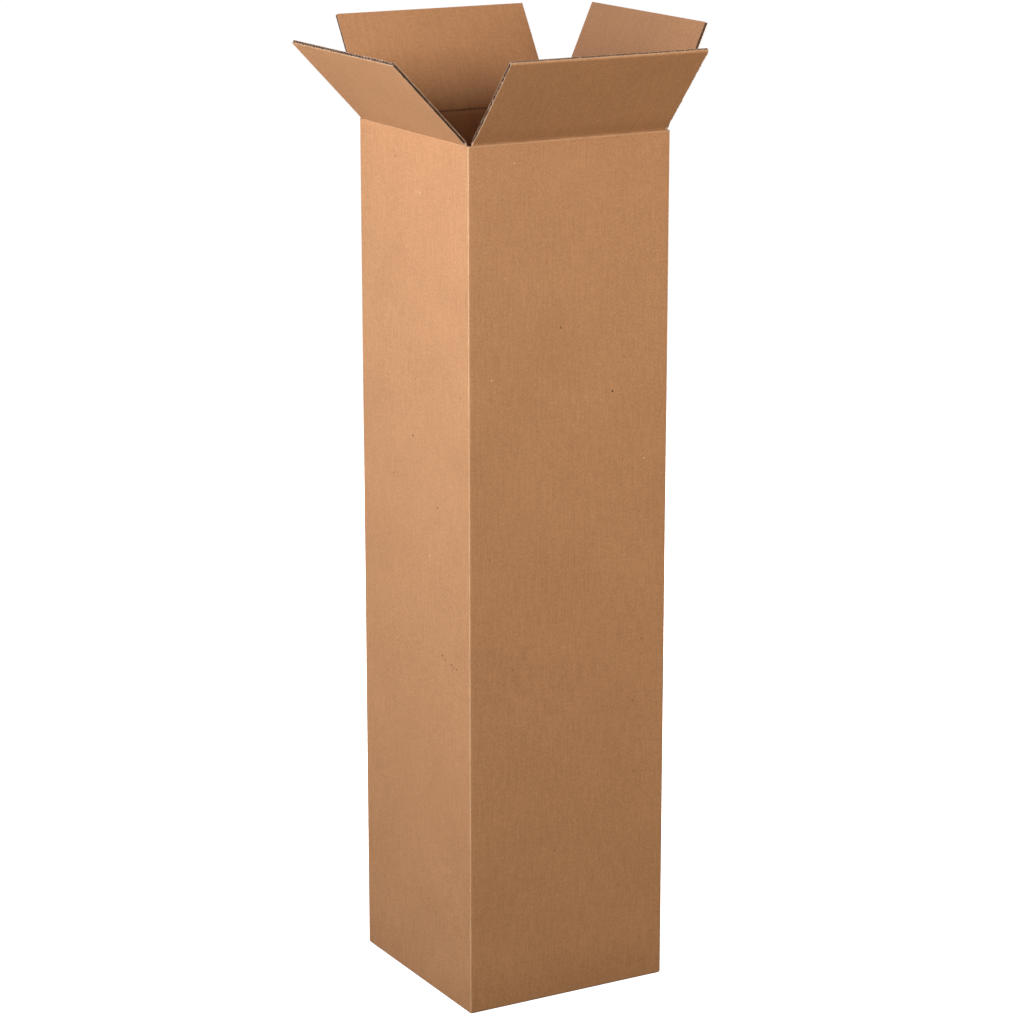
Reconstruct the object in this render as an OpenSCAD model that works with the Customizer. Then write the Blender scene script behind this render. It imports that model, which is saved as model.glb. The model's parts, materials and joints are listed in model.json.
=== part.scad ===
// Tall square corrugated carton, standing with its bottom closed and its four top flaps folded open.
// One blank makes four panels, a glue lap and eight flaps. X runs along the front panel, +Y points to
// the back and +Z is up. The origin is the middle of the base, on the floor.

/* [Box] */
// Outside width of each of the four equal panels
body_w = 315; // [200:5:450]
// Height from the floor to the top scores, midway between the inner and outer pair
score_h = 1229; // [300:1:1500]
// Outside radius of the folds between panels
fold_r = 3; // [1:0.5:4.5]

/* [Board] */
// Thickness of the corrugated board
board_t = 5; // [4:0.25:7]
// Thickness of each flat liner
liner_t = 0.4; // [0.2:0.05:0.7]
// Thickness of the fluted medium
medium_t = 0.35; // [0.2:0.05:0.6]
// Nominal distance from one flute to the next
flute_pitch = 8.6; // [6.5:0.1:10]
// Half width of the glue line that joins a flute tip to its liner
glue_half = 0.6; // [0.4:0.1:1]

/* [Flaps] */
// Width of the slots cut between neighbouring flaps
slot_w = 9.5; // [8:0.5:16]
// Gap where two flaps meet in the middle of the box
seam_gap = 1.5; // [0.5:0.25:4]
// Length of crushed, closed board beside each flap score
crush_l = 8; // [7.5:0.5:15]
// Opening of the front flap from upright
front_open = 42; // [0:1:80]
// Opening of the back flap from upright
back_open = 33; // [0:1:80]
// Opening of the left flap from upright
left_open = 43; // [0:1:80]
// Opening of the right flap from upright
right_open = 23.5; // [0:0.5:80]

/* [Glue lap] */
// Width of the lap that joins the right panel to the back panel
lap_w = 35; // [20:1:60]
// Slant of the lap's ends
lap_slant = 15; // [5:1:30]
// Distance that the lap keeps from the flaps above and below it
lap_back = 8; // [4:1:20]
// Gap between the back panel's cut edge and the face of the right panel
joint_gap = 2; // [0.5:0.25:4]

/* [Clearances] */
// Play between the inner and the outer flaps when both are closed
stack_play = 0.3; // [0.2:0.1:1]
// Play across each bevelled score
score_play = 0.3; // [0.2:0.1:0.6]

/* [Hidden] */
$fn = 64;
eps = 1;

kraft_out = [0.78, 0.57, 0.41];
kraft_in = [0.74, 0.53, 0.38];

half_w = body_w / 2;
inner_half = half_w - board_t;

// The outer flaps close over the inner ones, so their scores are one board apart
outer_z = score_h + (board_t + stack_play) / 2;
inner_z = score_h - (board_t + stack_play) / 2;

// A slot is centred on its fold, which lies in the middle of the board
flap_inset = (board_t + slot_w) / 2;
flap_w = body_w - 2 * flap_inset;
flap_l = half_w - seam_gap / 2;

// Whole flutes across a flap, so that both side cuts run through the same part of the wave
flute_n = round(flap_w / flute_pitch);
pitch = flap_w / flute_n;
amplitude = (board_t - 2 * liner_t - medium_t) / 2;
cell_half = pitch / 2 - glue_half;
cell_steps = 10;

// Depth that the open flute shows in the cut edge of the back panel
cut_depth = 2.5;

// Middle of the medium at x, with a tip on the outer liner at x = 0
function wave(x) = board_t / 2 - amplitude * cos(360 * x / pitch);

// Half the medium's thickness, measured through the board on the wave's slope
function half_medium(x) =
    medium_t / 2 * sqrt(1 + pow(amplitude * 2 * PI / pitch * sin(360 * x / pitch), 2));

// Hollow beside the inner liner, from x1 to x2
function inner_cell(x1, x2) = concat(
    [for (i = [0 : cell_steps]) let (x = x1 + (x2 - x1) * i / cell_steps) [x, wave(x) + half_medium(x)]],
    [[x2, board_t - liner_t], [x1, board_t - liner_t]]
);

// Hollow beside the outer liner, from x1 to x2
function outer_cell(x1, x2) = concat(
    [for (i = [0 : cell_steps]) let (x = x2 - (x2 - x1) * i / cell_steps) [x, wave(x) - half_medium(x)]],
    [[x1, liner_t], [x2, liner_t]]
);

// Section through a flap's hollows: x across the flutes, y from the outer face to the inner face
module flute_cells() {
    polygon(inner_cell(0, cell_half));
    for (k = [1 : flute_n - 1]) polygon(inner_cell(k * pitch - cell_half, k * pitch + cell_half));
    polygon(inner_cell(flap_w - cell_half, flap_w));
    for (k = [0.5 : flute_n - 0.5]) polygon(outer_cell(k * pitch - cell_half, k * pitch + cell_half));
}

// Strip that opens the two outermost hollows to the flap's sides
module side_cuts() {
    for (x = [-eps, flap_w])
        translate([x, wave(0) + half_medium(0)]) square([eps, board_t - liner_t - wave(0) - half_medium(0)]);
}

// Extrudes a YZ outline of the given length along X, centred on the YZ plane
module along_x(length) {
    translate([-length / 2, 0, 0]) rotate([90, 0, 90]) linear_extrude(length) children();
}

// Upright flap over the front panel: its score lies on the X axis and its outer face on the XZ plane
module flap() {
    difference() {
        along_x(flap_w) polygon([
            [0, score_play],
            [board_t, board_t + score_play],
            [board_t, flap_l],
            [0, flap_l]
        ]);
        translate([-flap_w / 2, 0, crush_l]) linear_extrude(flap_l) {
            flute_cells();
            side_cuts();
        }
    }
}

// Puts a flap on the panel that faces the given direction, with its score at height z
module on_panel(turn, z, open) {
    rotate([0, 0, turn]) translate([0, -half_w, z]) rotate([open, 0, 0]) children();
}

module rounded_square(width, r) {
    square([width, width - 2 * r], center = true);
    square([width - 2 * r, width], center = true);
    for (x = [-1, 1], y = [-1, 1]) translate([x, y] * (width / 2 - r)) circle(r);
}

// Outline of a wall with its lower corners rounded by the bottom folds
module wall_outline(height) {
    translate([-half_w, fold_r]) square([body_w, height - fold_r]);
    translate([-half_w + fold_r, 0]) square([body_w - 2 * fold_r, height]);
    for (x = [-1, 1]) translate([x * (half_w - fold_r), fold_r]) circle(fold_r);
}

// Solid block inside all the outer folds
module outer_block(height) {
    intersection() {
        linear_extrude(height) rounded_square(body_w, fold_r);
        along_x(body_w + 2 * eps) wall_outline(height);
        rotate([0, 0, 90]) along_x(body_w + 2 * eps) wall_outline(height);
    }
}

// The inside of the box above the closed bottom flaps
module cavity() {
    translate([-inner_half, -inner_half, 2 * board_t]) cube([2 * inner_half, 2 * inner_half, outer_z]);
}

// Cuts round one layer of the bottom: the seam along X and the gaps beside the flaps' cut sides
module bottom_cuts(z) {
    side_gap = flap_inset - board_t;
    translate([-inner_half, -seam_gap / 2, z]) cube([2 * inner_half, seam_gap, board_t + eps]);
    for (side = [-1, 1])
        translate([side * (inner_half - side_gap / 2) - side_gap / 2, -inner_half, z])
            cube([side_gap, 2 * inner_half, board_t + eps]);
}

// Bevel along the top of the front panel, from the score down to the inner face
module top_bevel(z) {
    translate([0, -half_w, z]) along_x(flap_w + 2 * score_play) polygon([
        [-eps, eps],
        [board_t + eps, -board_t - eps],
        [board_t + eps, 2 * board_t],
        [-eps, 2 * board_t]
    ]);
}

// Bottoms of the four slots, level with the lower scores
module corner_slots() {
    for (x = [-1, 1], y = [-1, 1])
        translate([x * half_w, y * half_w, inner_z + board_t])
            cube([2 * flap_inset, 2 * flap_inset, 2 * board_t], center = true);
}

// Back right corner, where the back panel lies on the glue lap and ends just short of the right panel's face
module joint_cuts() {
    translate([half_w - joint_gap, half_w - board_t, -eps]) cube([joint_gap + eps, board_t + eps, outer_z + 2 * eps]);
    translate([half_w - joint_gap - cut_depth, half_w - board_t + liner_t, 2 * board_t])
        cube([cut_depth + eps, board_t - 2 * liner_t, outer_z]);
    translate([half_w - fold_r, half_w - board_t - fold_r, -eps]) linear_extrude(outer_z + 2 * eps) difference() {
        square(fold_r + eps);
        circle(fold_r);
        translate([-eps, fold_r]) square(fold_r + 2 * eps);
    }
}

// Lap on the inside of the back panel, with slanted ends
module glue_lap() {
    low = 2 * board_t + lap_back;
    high = inner_z - board_t - lap_back;
    rise = lap_w * tan(lap_slant);
    translate([inner_half, inner_half, 0]) rotate([90, 0, 0]) linear_extrude(board_t) polygon([
        [0, low],
        [0, high],
        [-lap_w, high - rise],
        [-lap_w, low + rise]
    ]);
}

module body() {
    color(kraft_out) {
        difference() {
            outer_block(outer_z);
            cavity();
            bottom_cuts(-eps);
            rotate([0, 0, 90]) bottom_cuts(board_t);
            for (turn = [0, 180]) rotate([0, 0, turn]) top_bevel(outer_z);
            for (turn = [90, 270]) rotate([0, 0, turn]) top_bevel(inner_z);
            corner_slots();
            joint_cuts();
        }
        glue_lap();
    }
}

module front_flap() {
    color(kraft_in) on_panel(0, outer_z, front_open) flap();
}

module back_flap() {
    color(kraft_in) on_panel(180, outer_z, back_open) flap();
}

module left_flap() {
    color(kraft_in) on_panel(270, inner_z, left_open) flap();
}

module right_flap() {
    color(kraft_in) on_panel(90, inner_z, right_open) flap();
}

body();
front_flap();
back_flap();
left_flap();
right_flap();
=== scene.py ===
"""Looks of a tall corrugated carton that stands open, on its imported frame. Lengths are in metres."""

import json
import logging
import math
from dataclasses import dataclass
from enum import Enum
from typing import Callable, Iterator, NamedTuple, Sequence

import bmesh
import bpy
import numpy as np
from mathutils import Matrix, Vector

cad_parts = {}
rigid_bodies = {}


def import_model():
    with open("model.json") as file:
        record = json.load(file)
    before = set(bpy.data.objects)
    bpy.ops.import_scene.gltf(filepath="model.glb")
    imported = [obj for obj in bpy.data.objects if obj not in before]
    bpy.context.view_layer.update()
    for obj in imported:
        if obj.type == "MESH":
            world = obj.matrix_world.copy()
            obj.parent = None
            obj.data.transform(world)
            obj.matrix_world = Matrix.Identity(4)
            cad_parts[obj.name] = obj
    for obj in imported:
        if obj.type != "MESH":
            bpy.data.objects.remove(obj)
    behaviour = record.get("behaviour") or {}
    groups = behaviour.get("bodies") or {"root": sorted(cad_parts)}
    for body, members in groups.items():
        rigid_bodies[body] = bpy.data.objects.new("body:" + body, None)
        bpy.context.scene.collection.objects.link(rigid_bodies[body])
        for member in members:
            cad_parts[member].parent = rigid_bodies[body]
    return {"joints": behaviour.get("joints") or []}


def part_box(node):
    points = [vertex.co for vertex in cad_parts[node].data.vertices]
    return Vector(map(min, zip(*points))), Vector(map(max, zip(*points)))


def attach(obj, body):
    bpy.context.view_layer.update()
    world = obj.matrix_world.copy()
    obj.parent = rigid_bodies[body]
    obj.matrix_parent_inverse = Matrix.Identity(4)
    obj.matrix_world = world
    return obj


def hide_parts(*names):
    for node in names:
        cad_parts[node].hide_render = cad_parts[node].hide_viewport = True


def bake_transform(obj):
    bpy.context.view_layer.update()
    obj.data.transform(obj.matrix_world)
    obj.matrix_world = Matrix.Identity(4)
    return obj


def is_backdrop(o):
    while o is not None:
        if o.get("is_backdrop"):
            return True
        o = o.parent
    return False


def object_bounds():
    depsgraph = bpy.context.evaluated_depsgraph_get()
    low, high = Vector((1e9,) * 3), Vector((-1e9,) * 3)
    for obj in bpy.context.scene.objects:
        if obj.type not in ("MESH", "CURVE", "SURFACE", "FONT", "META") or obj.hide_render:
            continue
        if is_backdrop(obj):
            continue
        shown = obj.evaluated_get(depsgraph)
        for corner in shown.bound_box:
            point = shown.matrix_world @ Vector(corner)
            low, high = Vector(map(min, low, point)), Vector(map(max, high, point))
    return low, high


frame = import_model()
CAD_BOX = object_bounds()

log = logging.getLogger("carton")

MM = 0.001
CLOSE = 1e-9
QUARTER_TURN = math.pi / 2
SMOOTH_ANGLE = math.radians(35)
BLANK_UV = "blank"
CARTON = "carton"

Array = np.ndarray
Material = bpy.types.Material
Mesh = bpy.types.Mesh
Piece = bpy.types.Object
Socket = bpy.types.NodeSocket
Span = tuple[float, float]
Triple = tuple[float, float, float]

# Most values of a noise texture lie in this span.
MIDDLE: Span = (0.3, 0.7)
# Dark colour of the bark specks, also used for the painted shade in the score creases.
BARK_AND_SHADE: Triple = (0.11, 0.05, 0.022)
WHITE: Triple = (1.0, 1.0, 1.0)


class Side(Enum):
    """The four panels, each with its turn about Z and its column on the flat blank."""

    BACK = ("back", 180, -2)
    LEFT = ("left", 270, -1)
    FRONT = ("front", 0, 0)
    RIGHT = ("right", 90, 1)

    def __init__(self, label: str, turn: float, column: int) -> None:
        """Keeps the side's values.

        Args:
            label: The side's name.
            turn: Its turn about Z, in degrees.
            column: Its column on the flat blank.
        """
        self.label = label
        self.turn = math.radians(turn)
        self.column = column

    @property
    def body(self) -> str:
        """Name of the CAD body and node of this side's top flap."""
        return f"{self.label}_flap"

    def world(self, x: Array, y: Array, z: Array) -> Array:
        """Turns points from the side's own axes, x to the right and y inwards, into the row frame.

        Args:
            x: Distance to the right of the side's middle, seen from outside.
            y: Distance along the inward normal, from the middle of the box.
            z: Height.

        Returns:
            The points, with their three coordinates on the last axis.
        """
        c, s = math.cos(self.turn), math.sin(self.turn)
        x, y, z = np.broadcast_arrays(x, y, z)
        return np.stack([c * x - s * y, s * x + c * y, z], axis=-1)


class Skin(Enum):
    """Which face of the board a mesh face belongs to, as its material index."""

    OUTER = 0
    INNER = 1
    CUT = 2
    FLUTE = 3


@dataclass(frozen=True)
class Board:
    """Single-wall board, and how its scores are crushed."""

    thick: float = 5.0 * MM
    liner: float = 0.5 * MM
    medium: float = 0.5 * MM
    flutes: int = 35
    solid: float = 3.0 * MM
    crush: float = 1.3 * MM
    crush_spread: float = 3.0 * MM
    crease: float = 0.9 * MM
    crease_spread: float = 0.6 * MM
    valley: float = 0.5 * MM
    valley_at: float = 0.7 * MM
    lip: float = 0.15 * MM
    lip_at: float = -1.2 * MM
    lip_spread: float = 0.8 * MM
    bend_half: float = 1.2 * MM
    rolled_side: float = 0.3 * MM
    rolled_spread: float = 1.3 * MM
    tuck_rise: float = 2.0 * MM
    tuck_spread: float = 26.0 * MM

    @property
    def layers(self) -> Array:
        """Depths of the board's faces: outer liner, core and inner liner."""
        return np.array([0.0, self.liner, self.thick - self.liner, self.thick])

    @property
    def amplitude(self) -> float:
        """Half the travel of the medium between the liners."""
        return (self.thick - 2 * self.liner - self.medium) / 2

    @property
    def near_score(self) -> Array:
        """Distances from a score at which the board gets a row of points, to where the crush fades out."""
        return np.array([0.0, 0.2, 0.4, 0.7, 1.0, 1.4, 1.9, 2.4, 3.0, 4.0, 5.5, 7.5]) * MM

    @property
    def near_edge(self) -> Array:
        """Distances from a flap's cut edge at which its rolled liner gets points."""
        return np.array([4.0, 2.6, 1.9, 1.3, 0.8, 0.35, 0.0]) * MM

    def depth(self, t: Array, s: Array, tuck: float = 0.0) -> Array:
        """Depth of a layer below the flat outer face, near a score.

        Args:
            t: Depth of the layer in flat board.
            s: Distance from the score, below 0 on the panel's side.
            tuck: How far the outer liner is pressed in beside the score, on the flap's side.

        Returns:
            The layer's depth in the crushed and creased board.
        """
        share = t / self.thick
        pressed = self.crush * self._hump(s, 0.0, self.crush_spread)
        crease = self.crease * self._hump(s, 0.0, self.crease_spread)
        valley = self.valley * self._hump(s, self.valley_at, self.crease_spread)
        lip = self.lip * self._hump(s, self.lip_at, self.lip_spread)
        tucked = tuck * smoothstep(s / self.tuck_rise) * (1 - smoothstep(s / self.tuck_spread))
        return t - share * (pressed + crease) + (1 - share) * (valley + tucked - lip)

    def roll(self, t: Array, rolled: float, to_end: Array, to_side: Array) -> Array:
        """Inward move of a layer where the knife has pressed the outer liner over a cut edge.

        Args:
            t: Depth of the layer in flat board.
            rolled: Largest move along the flap's free edge.
            to_end: Distance to the free edge.
            to_side: Distance to the flap's nearest side cut.

        Returns:
            The move, which is largest at the outer face.
        """
        end = rolled * self._hump(to_end, 0.0, self.rolled_spread)
        side = self.rolled_side * self._hump(to_side, 0.0, self.rolled_spread)
        return (1 - t / self.thick) * np.maximum(end, side)

    @staticmethod
    def _hump(s: Array, centre: float, spread: float) -> Array:
        """Smooth hump of height 1 along the distance from a score."""
        return np.exp(-(((s - centre) / spread) ** 2))


@dataclass(frozen=True)
class Blank:
    """Sizes of the folded blank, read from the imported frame."""

    width: float
    score_z: float
    flap_w: float
    flap_l: float
    fold_r: float = 3.0 * MM
    inner_r: float = 0.8 * MM
    strip: float = 10.0 * MM
    joint_gap: float = 2.0 * MM
    cut_depth: float = 2.5 * MM
    seam_gap: float = 1.5 * MM

    @classmethod
    def from_frame(cls) -> "Blank":
        """Reads the panel's width, the scores' height and the flaps' width from the CAD.

        Returns:
            The blank's sizes.
        """
        low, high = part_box("body")
        flap_low, flap_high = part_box(Side.FRONT.body)
        width = high.x - low.x
        heights = [joint["pos_m"][2] for joint in frame["joints"]]
        return cls(width, float(np.mean(heights)), flap_high.x - flap_low.x, (width - cls.seam_gap) / 2)

    @property
    def half(self) -> float:
        """Half the outside width of a panel."""
        return self.width / 2

    @property
    def inset(self) -> float:
        """Distance from a panel's corner to the flap's cut side."""
        return (self.width - self.flap_w) / 2

    def along(self, side: Side, x: Array) -> Array:
        """Place along the flat blank of a distance from one side's middle."""
        return side.column * self.width + x


class BoardGrid:
    """Closed mesh made of the filled cells of a grid that is bent to shape.

    The grid has stations along the board, layers through it and levels up it.
    """

    CORE = 1
    CORNERS = {
        (0, -1): ((0, 0, 0), (0, 0, 1), (0, 1, 1), (0, 1, 0)),
        (0, 1): ((1, 0, 0), (1, 1, 0), (1, 1, 1), (1, 0, 1)),
        (1, -1): ((0, 0, 0), (1, 0, 0), (1, 0, 1), (0, 0, 1)),
        (1, 1): ((0, 1, 0), (0, 1, 1), (1, 1, 1), (1, 1, 0)),
        (2, -1): ((0, 0, 0), (0, 1, 0), (1, 1, 0), (1, 0, 0)),
        (2, 1): ((0, 0, 1), (1, 0, 1), (1, 1, 1), (0, 1, 1)),
    }

    def __init__(self, points: Array, uv: Array, filled: Array, sole: Skin = Skin.CUT) -> None:
        """Keeps the grid's points, their place on the blank and the filled cells.

        Args:
            points: Positions, shaped (stations, layers, levels, 3).
            uv: Places on the flat blank, shaped (stations, layers, levels, 2).
            filled: Which cells hold board, one less than the points on each axis.
            sole: Skin of the lowest faces.
        """
        self.points = points
        self.uv = uv
        self.filled = filled
        self.sole = sole

    @staticmethod
    def cells(points: Array, filled: bool = True) -> Array:
        """Marks every cell between some grid points as filled or empty."""
        return np.full([count - 1 for count in points.shape], filled)

    def build(self, name: str, materials: Sequence[Material]) -> Piece:
        """Makes the mesh object.

        Args:
            name: Name of the new piece.
            materials: One material for each Skin, in order.

        Returns:
            The new object, at the origin, with its place on the blank as its UV map.
        """
        quads, skins = self._faces()
        used, compact = np.unique(quads, return_inverse=True)
        compact = compact.reshape(quads.shape)
        mesh = bpy.data.meshes.new(name)
        mesh.from_pydata(self.points.reshape(-1, 3)[used].tolist(), [], compact.tolist())
        layer = mesh.uv_layers.new(name=BLANK_UV)
        layer.data.foreach_set("uv", self.uv.reshape(-1, 2)[quads.ravel()].astype(np.float32).ravel())
        mesh.polygons.foreach_set("material_index", skins.astype(np.int32))
        return finish_mesh(mesh, name, materials)

    def _faces(self) -> tuple[Array, Array]:
        """Finds the faces between a filled and an empty cell.

        Returns:
            The corner indices and the material index of each face.
        """
        shape = self.points.shape[:3]
        padded = np.pad(self.filled, 1)
        core = tuple(slice(1, -1) for _ in range(3))
        quads, skins = [], []
        for (axis, sign), corners in self.CORNERS.items():
            beside = np.roll(padded, -sign, axis)[core]
            cells = np.argwhere(self.filled & ~beside)
            index = [np.ravel_multi_index((cells + corner).T, shape) for corner in corners]
            quads.append(np.stack(index, axis=-1))
            skins.append(self._skin(axis, sign, cells))
        return np.concatenate(quads), np.concatenate(skins)

    def _skin(self, axis: int, sign: int, cells: Array) -> Array:
        """Chooses the skin of the faces on one side of some cells.

        Args:
            axis: Axis of the grid that the faces lie across.
            sign: Whether they lie on the low or the high side.
            cells: Indices of the cells.

        Returns:
            The faces' material indices.
        """
        if axis != 1:
            lowest = (axis == 2) & (sign < 0) & (cells[:, 2] == 0)
            return np.where(lowest, self.sole.value, Skin.CUT.value)
        edge = 0 if sign < 0 else self.filled.shape[1] - 1
        face = Skin.OUTER.value if sign < 0 else Skin.INNER.value
        return np.where(cells[:, 1] == edge, face, Skin.FLUTE.value)


def finish_mesh(mesh: Mesh, name: str, materials: Sequence[Material] = ()) -> Piece:
    """Shades a mesh smooth between its sharp edges and links it as an object.

    Args:
        mesh: The finished mesh, in the row frame.
        name: Name of the new piece.
        materials: The materials it doesn't have yet, in slot order.

    Returns:
        The linked object.
    """
    for material in materials:
        mesh.materials.append(material)
    mesh.shade_smooth()
    mesh.set_sharp_from_angle(angle=SMOOTH_ANGLE)
    mesh.validate()
    made = bpy.data.objects.new(name, mesh)
    bpy.context.scene.collection.objects.link(made)
    return made


def map_mesh(mesh: Mesh, place: Callable[..., Array]) -> None:
    """Moves a flat mesh's points to their places.

    Args:
        mesh: The mesh.
        place: Gives the new points for arrays of x, y and z.
    """
    flat = np.zeros(len(mesh.vertices) * 3)
    mesh.vertices.foreach_get("co", flat)
    placed = place(*flat.reshape(-1, 3).T)
    mesh.vertices.foreach_set("co", placed.astype(np.float32).ravel())


def smoothstep(value: Array) -> Array:
    """Smooth rise from 0 to 1 while the value goes from 0 to 1."""
    t = np.clip(value, 0.0, 1.0)
    return t * t * (3 - 2 * t)


class Grain(Enum):
    """Layers of paper texture: fineness, detail, roughness, and stretch over the blank where it has one."""

    CLOUD = (9.0, 3.0, 0.5, None)
    MOTTLE = (90.0, 3.0, 0.6, None)
    FINE = (300.0, 2.0, 0.6, None)
    TORN = (700.0, 4.0, 0.7, None)
    FIBRE = (1.0, 3.0, 0.65, (160.0, 700.0, 1.0))
    UPRIGHT = (1.0, 3.0, 0.6, (420.0, 22.0, 1.0))
    FLUTE_DRIFT = (1.0, 2.0, 0.5, (14.0, 4.0, 1.0))
    # Breaks up the painted shade in the score creases.
    CREASE_DRIFT = (1.0, 3.0, 0.5, (80.0, 80.0, 1.0))
    # Breaks up the pale lines that are partly wear and partly painted highlight.
    WEAR_AND_HIGHLIGHT = (1.0, 4.0, 0.5, (60.0, 25.0, 1.0))

    def __init__(self, fineness: float, detail: float, rough: float, stretch: Triple | None) -> None:
        """Keeps the layer's values.

        Args:
            fineness: Scale of the noise.
            detail: Its number of octaves.
            rough: How strong its finer octaves are.
            stretch: Scale along each axis before the noise, if any.
        """
        self.fineness = fineness
        self.detail = detail
        self.rough = rough
        self.stretch = stretch


class Graph:
    """Small helper that adds and links the nodes of one tree."""

    def __init__(self, tree: bpy.types.NodeTree) -> None:
        """Keeps the tree."""
        self.tree = tree

    def node(self, kind: str, inputs: dict | None = None, **settings: object) -> bpy.types.Node:
        """Adds a node.

        Args:
            kind: The node's type name.
            inputs: Values or sockets for its inputs, by name or number.
            **settings: The node's own settings.

        Returns:
            The new node.
        """
        made = self.tree.nodes.new(kind)
        for key, value in settings.items():
            setattr(made, key, value)
        for key, value in (inputs or {}).items():
            self.feed(made.inputs[key], value)
        return made

    def feed(self, socket: Socket, value: object) -> None:
        """Links a socket to the input, or sets its value.

        Args:
            socket: The input.
            value: What it gets, where a colour may come without its alpha.
        """
        if isinstance(value, Socket):
            self.tree.links.new(value, socket)
        elif isinstance(value, tuple) and len(value) == 3 and socket.type == "RGBA":
            socket.default_value = (*value, 1.0)
        else:
            socket.default_value = value

    def math(self, operation: str, *values: object) -> Socket:
        """Adds a Math node and returns its output."""
        return self.node("ShaderNodeMath", dict(enumerate(values)), operation=operation).outputs[0]

    def vector(self, operation: str, *values: object) -> Socket:
        """Adds a Vector Math node and returns its vector output."""
        return self.node("ShaderNodeVectorMath", dict(enumerate(values)), operation=operation).outputs[0]

    def xyz(self, *values: object) -> Socket:
        """Joins up to three numbers into a vector."""
        return self.node("ShaderNodeCombineXYZ", dict(enumerate(values))).outputs[0]

    def split(self, vector: object) -> tuple[Socket, Socket]:
        """Returns the first two parts of a vector."""
        parts = self.node("ShaderNodeSeparateXYZ", {0: vector})
        return parts.outputs[0], parts.outputs[1]

    def ramp(self, value: object, given: Span, wanted: Span = (0.0, 1.0)) -> Socket:
        """Maps a value smoothly from one span to another.

        Args:
            value: The value, held to the ends of its span.
            given: The span that it is read over.
            wanted: The span that it is mapped to.

        Returns:
            The mapped value.
        """
        made = self.node("ShaderNodeMapRange", dict(enumerate((value, *given, *wanted))),
                         interpolation_type="SMOOTHSTEP")
        return made.outputs[0]


class Shading(Graph):
    """Nodes of one material, with the textures that paper needs."""

    def __init__(self, name: str) -> None:
        """Starts a new material with an empty tree.

        Args:
            name: The material's name.
        """
        self.material = bpy.data.materials.new(name)
        self.material.use_nodes = True
        super().__init__(self.material.node_tree)
        self.tree.nodes.clear()

    def noise(self, vector: object, grain: Grain) -> Socket:
        """Adds a Noise texture.

        Args:
            vector: Where it is read.
            grain: The layer of paper texture that it makes.

        Returns:
            Its value, from 0 to 1.
        """
        if grain.stretch:
            vector = self.node("ShaderNodeMapping", {"Vector": vector, "Scale": grain.stretch}).outputs[0]
        made = self.node("ShaderNodeTexNoise", {
            "Vector": vector, "Scale": grain.fineness, "Detail": grain.detail, "Roughness": grain.rough,
        })
        return made.outputs[0]

    def mix(self, factor: object, first: object, second: object) -> Socket:
        """Mixes two colours.

        Args:
            factor: Share of the second colour.
            first: The first colour.
            second: The second colour.

        Returns:
            The mixed colour.
        """
        made = self.node("ShaderNodeMix", data_type="RGBA")
        for index, value in {0: factor, 6: first, 7: second}.items():
            self.feed(made.inputs[index], value)
        return made.outputs[2]

    def finish(self, colour: object, roughness: object, specular: float, height: object,
               depth: float) -> Material:
        """Ends the tree in a Principled shader with a bump.

        Args:
            colour: Base colour.
            roughness: Roughness.
            specular: Specular level of the surface.
            height: Height of the relief, from 0 to 1.
            depth: Depth of the relief in metres.

        Returns:
            The finished material.
        """
        bump = self.node("ShaderNodeBump", {"Strength": 1.0, "Distance": depth, "Height": height})
        shader = self.node("ShaderNodeBsdfPrincipled", {
            "Base Color": colour, "Roughness": roughness, "Specular IOR Level": specular,
            "Normal": bump.outputs[0],
        })
        self.node("ShaderNodeOutputMaterial", {"Surface": shader.outputs[0]})
        return self.material


@dataclass(frozen=True)
class Fleck:
    """A dark or light bit of bark or fibre in the liner, at its place on the blank."""

    side: Side
    x: float
    z: float
    size: float
    strength: float
    core: float = 0.6
    rim: float = 1.25
    boost: float = 1.3
    most: float = 0.95

    def mask(self, g: Shading, place: Socket, blank: Blank) -> Socket:
        """Finds how much of the fleck shows at each place.

        Args:
            g: The material's tree.
            place: The place on the blank.
            blank: The blank's sizes.

        Returns:
            The fleck's share of the colour.
        """
        centre = (blank.along(self.side, self.x), self.z, 0.0)
        gap = g.node("ShaderNodeVectorMath", {0: place, 1: centre}, operation="DISTANCE").outputs["Value"]
        shown = min(abs(self.strength) * self.boost, self.most)
        return g.ramp(gap, (self.size * self.core, self.size * self.rim), (shown, 0.0))


@dataclass(frozen=True)
class Specks:
    """Small round specks in the rarest cells of a cell texture."""

    fineness: float
    rarity: float
    size: float
    strength: float
    shift: Triple = (0.0, 0.0, 0.0)

    def mask(self, g: Shading, place: Socket) -> Socket:
        """Finds how much of the specks shows at each place.

        Args:
            g: The material's tree.
            place: The place on the blank.

        Returns:
            The specks' share of the colour.
        """
        moved = g.vector("ADD", place, self.shift)
        cells = g.node("ShaderNodeTexVoronoi", {"Vector": moved, "Scale": self.fineness},
                       voronoi_dimensions="2D")
        tints = g.node("ShaderNodeSeparateColor", {0: cells.outputs[1]})
        chosen = g.math("GREATER_THAN", tints.outputs[0], self.rarity)
        radius = g.math("MULTIPLY_ADD", tints.outputs[1], self.size, self.size / 2)
        inside = g.ramp(g.math("DIVIDE", cells.outputs[0], radius), (0.5, 1.0), (self.strength, 0.0))
        return g.math("MULTIPLY", chosen, inside)


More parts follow.
